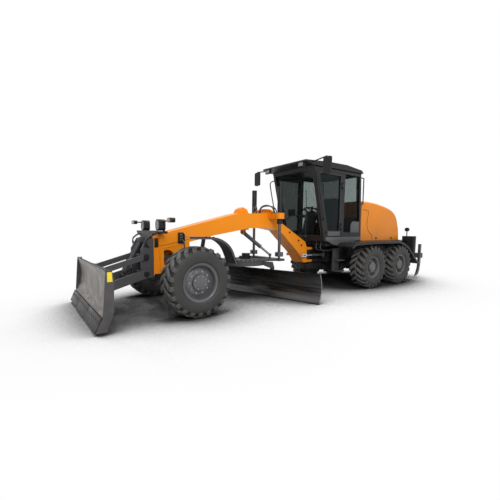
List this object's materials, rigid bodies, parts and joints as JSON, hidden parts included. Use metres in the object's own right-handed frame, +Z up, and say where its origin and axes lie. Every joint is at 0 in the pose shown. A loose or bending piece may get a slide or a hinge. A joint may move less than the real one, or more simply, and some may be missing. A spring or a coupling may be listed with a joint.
{
  "type": "motor grader",
  "caption": "Articulated motor grader with tandem drive, gooseneck frame, angled moldboard under the neck, front dozer blade, glazed cab and rear ripper.",
  "frame": {"origin": "on the ground at the middle of the bounding box, between the dozer edge and the ripper beam", "axes": "+X forward, +Y to the machine's left, +Z up"},
  "size_m": [9.684, 3.2659, 3.07],
  "materials": {
    "orange_paint": "gloss",
    "charcoal_paint": "satin",
    "black_paint": "satin",
    "rim_grey": "satin",
    "tyre": "matte",
    "tinted_glass": "clear",
    "rod_chrome": "polished",
    "worn_steel": "worn",
    "seat_cloth": "woven",
    "dark_plastic": "matte",
    "engine_grey": "rough"
  },
  "bodies": {
    "rear_unit": {"rear_frame": "charcoal_paint", "tandem_axle": "charcoal_paint", "engine": "engine_grey", "rear_fenders": "black_paint", "cab_shell": "black_paint", "cab_roof": "black_paint", "cab_glass": "tinted_glass", "seat": "seat_cloth", "console": "dark_plastic", "steps": "charcoal_paint", "rails_and_mirrors": "black_paint", "lamps_rear": "black_paint"},
    "front_unit": {"gooseneck": "orange_paint", "saddle": "orange_paint", "lift_barrels": "charcoal_paint", "dozer_carrier": "charcoal_paint", "headlamps": "black_paint", "front_axle": "charcoal_paint"},
    "hood": {"hood": "orange_paint"},
    "drawbar": {"drawbar": "charcoal_paint", "swing_motor": "charcoal_paint"},
    "lift_rods": {"lift_rods": "rod_chrome"},
    "circle": {"circle": "charcoal_paint"},
    "moldboard": {"moldboard": "worn_steel", "cutting_edge": "worn_steel"},
    "shift_barrel": {"shift_barrel": "charcoal_paint"},
    "shift_rod": {"shift_rod": "rod_chrome"},
    "dozer_arms": {"dozer_arms": "charcoal_paint"},
    "dozer_links": {"dozer_links": "charcoal_paint"},
    "dozer_blade": {"dozer_blade": "charcoal_paint"},
    "dozer_barrel": {"dozer_barrel": "charcoal_paint"},
    "dozer_rod": {"dozer_rod": "rod_chrome"},
    "ripper": {"ripper_frame": "charcoal_paint", "ripper_shanks": "charcoal_paint"},
    "ripper_barrel": {"ripper_barrel": "charcoal_paint"},
    "ripper_rod": {"ripper_rod": "rod_chrome"},
    "knuckle_left": {"knuckle_left": "charcoal_paint", "fender_front_left": "black_paint"},
    "wheel_steer_left": {"tyre_steer_left": "tyre", "rim_steer_left": "rim_grey"},
    "wheel_tandem_left_front": {"tyre_tandem_left_front": "tyre", "rim_tandem_left_front": "rim_grey"},
    "wheel_tandem_left_rear": {"tyre_tandem_left_rear": "tyre", "rim_tandem_left_rear": "rim_grey"},
    "door_left": {"door_left": "black_paint", "door_glass_left": "tinted_glass"},
    "artic_barrel_left": {"artic_barrel_left": "charcoal_paint"},
    "artic_rod_left": {"artic_rod_left": "rod_chrome"},
    "knuckle_right": {"knuckle_right": "charcoal_paint", "fender_front_right": "black_paint"},
    "wheel_steer_right": {"tyre_steer_right": "tyre", "rim_steer_right": "rim_grey"},
    "wheel_tandem_right_front": {"tyre_tandem_right_front": "tyre", "rim_tandem_right_front": "rim_grey"},
    "wheel_tandem_right_rear": {"tyre_tandem_right_rear": "tyre", "rim_tandem_right_rear": "rim_grey"},
    "door_right": {"door_right": "black_paint", "door_glass_right": "tinted_glass"},
    "artic_barrel_right": {"artic_barrel_right": "charcoal_paint"},
    "artic_rod_right": {"artic_rod_right": "rod_chrome"}
  },
  "joints": [
    {"name": "articulation", "type": "hinge", "parent": "rear_unit", "child": "front_unit", "pos_m": [-0.578, 0, 0.835], "axis": [0, 0, 1], "range_deg": [-28, 28]},
    {"name": "steer_left", "type": "hinge", "parent": "front_unit", "child": "knuckle_left", "pos_m": [3.222, 0.75, 0.588], "axis": [0, 0, 1], "range_deg": [-35, 35]},
    {"name": "spin_steer_left", "type": "hinge", "parent": "knuckle_left", "child": "wheel_steer_left", "pos_m": [3.222, 1.015, 0.588], "axis": [0, 1, 0], "continuous": true},
    {"name": "spin_tandem_left_front", "type": "hinge", "parent": "rear_unit", "child": "wheel_tandem_left_front", "pos_m": [-1.75, 1.015, 0.538], "axis": [0, 1, 0], "continuous": true},
    {"name": "spin_tandem_left_rear", "type": "hinge", "parent": "rear_unit", "child": "wheel_tandem_left_rear", "pos_m": [-3.074, 1.015, 0.538], "axis": [0, 1, 0], "continuous": true},
    {"name": "door_left_swing", "type": "hinge", "parent": "rear_unit", "child": "door_left", "pos_m": [-1.028, 0.715, 2], "axis": [0, 0, 1], "range_deg": [0, 95]},
    {"name": "artic_barrel_left_swing", "type": "hinge", "parent": "rear_unit", "child": "artic_barrel_left", "pos_m": [-0.838, 0.33, 0.835], "axis": [0, 0, 1], "range_deg": [-17, 17]},
    {"name": "artic_rod_left_slide", "type": "slide", "parent": "artic_barrel_left", "child": "artic_rod_left", "axis": [0.9932, -0.1168, 0], "range_m": [-0.15, 0.15]},
    {"name": "steer_right", "type": "hinge", "parent": "front_unit", "child": "knuckle_right", "pos_m": [3.222, -0.75, 0.588], "axis": [0, 0, 1], "range_deg": [-35, 35]},
    {"name": "spin_steer_right", "type": "hinge", "parent": "knuckle_right", "child": "wheel_steer_right", "pos_m": [3.222, -1.015, 0.588], "axis": [0, 1, 0], "continuous": true},
    {"name": "spin_tandem_right_front", "type": "hinge", "parent": "rear_unit", "child": "wheel_tandem_right_front", "pos_m": [-1.75, -1.015, 0.538], "axis": [0, 1, 0], "continuous": true},
    {"name": "spin_tandem_right_rear", "type": "hinge", "parent": "rear_unit", "child": "wheel_tandem_right_rear", "pos_m": [-3.074, -1.015, 0.538], "axis": [0, 1, 0], "continuous": true},
    {"name": "door_right_swing", "type": "hinge", "parent": "rear_unit", "child": "door_right", "pos_m": [-1.028, -0.715, 2], "axis": [0, 0, -1], "range_deg": [0, 95]},
    {"name": "artic_barrel_right_swing", "type": "hinge", "parent": "rear_unit", "child": "artic_barrel_right", "pos_m": [-0.838, -0.33, 0.835], "axis": [0, 0, 1], "range_deg": [-17, 17]},
    {"name": "artic_rod_right_slide", "type": "slide", "parent": "artic_barrel_right", "child": "artic_rod_right", "axis": [0.9932, 0.1168, 0], "range_m": [-0.15, 0.15]},
    {"name": "drawbar_lift", "type": "hinge", "parent": "front_unit", "child": "drawbar", "pos_m": [3.382, 0, 0.93], "axis": [0, 1, 0], "range_deg": [-8, 9]},
    {"name": "lift_rods_slide", "type": "slide", "parent": "front_unit", "child": "lift_rods", "axis": [0, 0, 1], "range_m": [-0.36, 0.41]},
    {"name": "circle_turn", "type": "hinge", "parent": "drawbar", "child": "circle", "pos_m": [1.522, 0, 0.725], "axis": [0, 0, 1], "range_deg": [-56, 24]},
    {"name": "moldboard_shift", "type": "slide", "parent": "circle", "child": "moldboard", "axis": [-0.2756, 0.9613, 0], "range_m": [-0.35, 0.35]},
    {"name": "shift_barrel_swing", "type": "hinge", "parent": "front_unit", "child": "shift_barrel", "pos_m": [1.422, -0.1, 1.4], "axis": [0.7615, 0.6481, 0], "range_deg": [-22, 24]},
    {"name": "shift_rod_slide", "type": "slide", "parent": "shift_barrel", "child": "shift_rod", "axis": [-0.5056, 0.5941, -0.6257], "range_m": [-0.27, 0.24]},
    {"name": "dozer_lift", "type": "hinge", "parent": "front_unit", "child": "dozer_arms", "pos_m": [3.842, 0, 0.68], "axis": [0, -1, 0], "range_deg": [-11, 40]},
    {"name": "dozer_links_swing", "type": "hinge", "parent": "front_unit", "child": "dozer_links", "pos_m": [3.842, 0, 0.98], "axis": [0, -1, 0], "range_deg": [-11, 40]},
    {"name": "dozer_blade_level", "type": "hinge", "parent": "dozer_arms", "child": "dozer_blade", "pos_m": [4.542, 0, 0.48], "axis": [0, -1, 0], "range_deg": [-40, 11]},
    {"name": "dozer_barrel_swing", "type": "hinge", "parent": "front_unit", "child": "dozer_barrel", "pos_m": [3.812, 0, 1.27], "axis": [0, -1, 0], "range_deg": [-2, 4]},
    {"name": "dozer_rod_slide", "type": "slide", "parent": "dozer_barrel", "child": "dozer_rod", "axis": [0.4875, 0, -0.8731], "range_m": [-0.19, 0.055]},
    {"name": "ripper_lift", "type": "hinge", "parent": "rear_unit", "child": "ripper", "pos_m": [-4.308, 0, 0.82], "axis": [0, 1, 0], "range_deg": [-20, 35]},
    {"name": "ripper_barrel_swing", "type": "hinge", "parent": "rear_unit", "child": "ripper_barrel", "pos_m": [-4.278, 0, 1.305], "axis": [0, 1, 0], "range_deg": [-2, 3]},
    {"name": "ripper_rod_slide", "type": "slide", "parent": "ripper_barrel", "child": "ripper_rod", "axis": [-0.3956, 0, -0.9184], "range_m": [-0.105, 0.06]},
    {"name": "hood_lift", "type": "hinge", "parent": "rear_unit", "child": "hood", "pos_m": [-4.088, 0, 1.215], "axis": [0, -1, 0], "range_deg": [0, 45]}
  ],
  "couplings": [
    {"joint": "spin_tandem_left_rear", "follows": "spin_tandem_left_front", "ratio": 1},
    {"joint": "artic_barrel_left_swing", "follows": "articulation", "ratio": 0.568},
    {"joint": "artic_rod_left_slide", "follows": "articulation", "m_per_rad": -0.2975},
    {"joint": "spin_tandem_right_rear", "follows": "spin_tandem_right_front", "ratio": 1},
    {"joint": "artic_barrel_right_swing", "follows": "articulation", "ratio": 0.568},
    {"joint": "artic_rod_right_slide", "follows": "articulation", "m_per_rad": 0.2975},
    {"joint": "steer_right", "follows": "steer_left", "ratio": 1},
    {"joint": "lift_rods_slide", "follows": "drawbar_lift", "m_per_rad": 2.553},
    {"joint": "shift_barrel_swing", "follows": "drawbar_lift", "ratio": 2.3401},
    {"joint": "shift_rod_slide", "follows": "drawbar_lift", "m_per_rad": -1.4637},
    {"joint": "dozer_links_swing", "follows": "dozer_lift", "ratio": 1},
    {"joint": "dozer_blade_level", "follows": "dozer_lift", "ratio": -1},
    {"joint": "dozer_barrel_swing", "follows": "dozer_lift", "ratio": 0.06},
    {"joint": "dozer_rod_slide", "follows": "dozer_lift", "m_per_rad": -0.268},
    {"joint": "ripper_barrel_swing", "follows": "ripper_lift", "ratio": -0.04},
    {"joint": "ripper_rod_slide", "follows": "ripper_lift", "m_per_rad": -0.162}
  ]
}
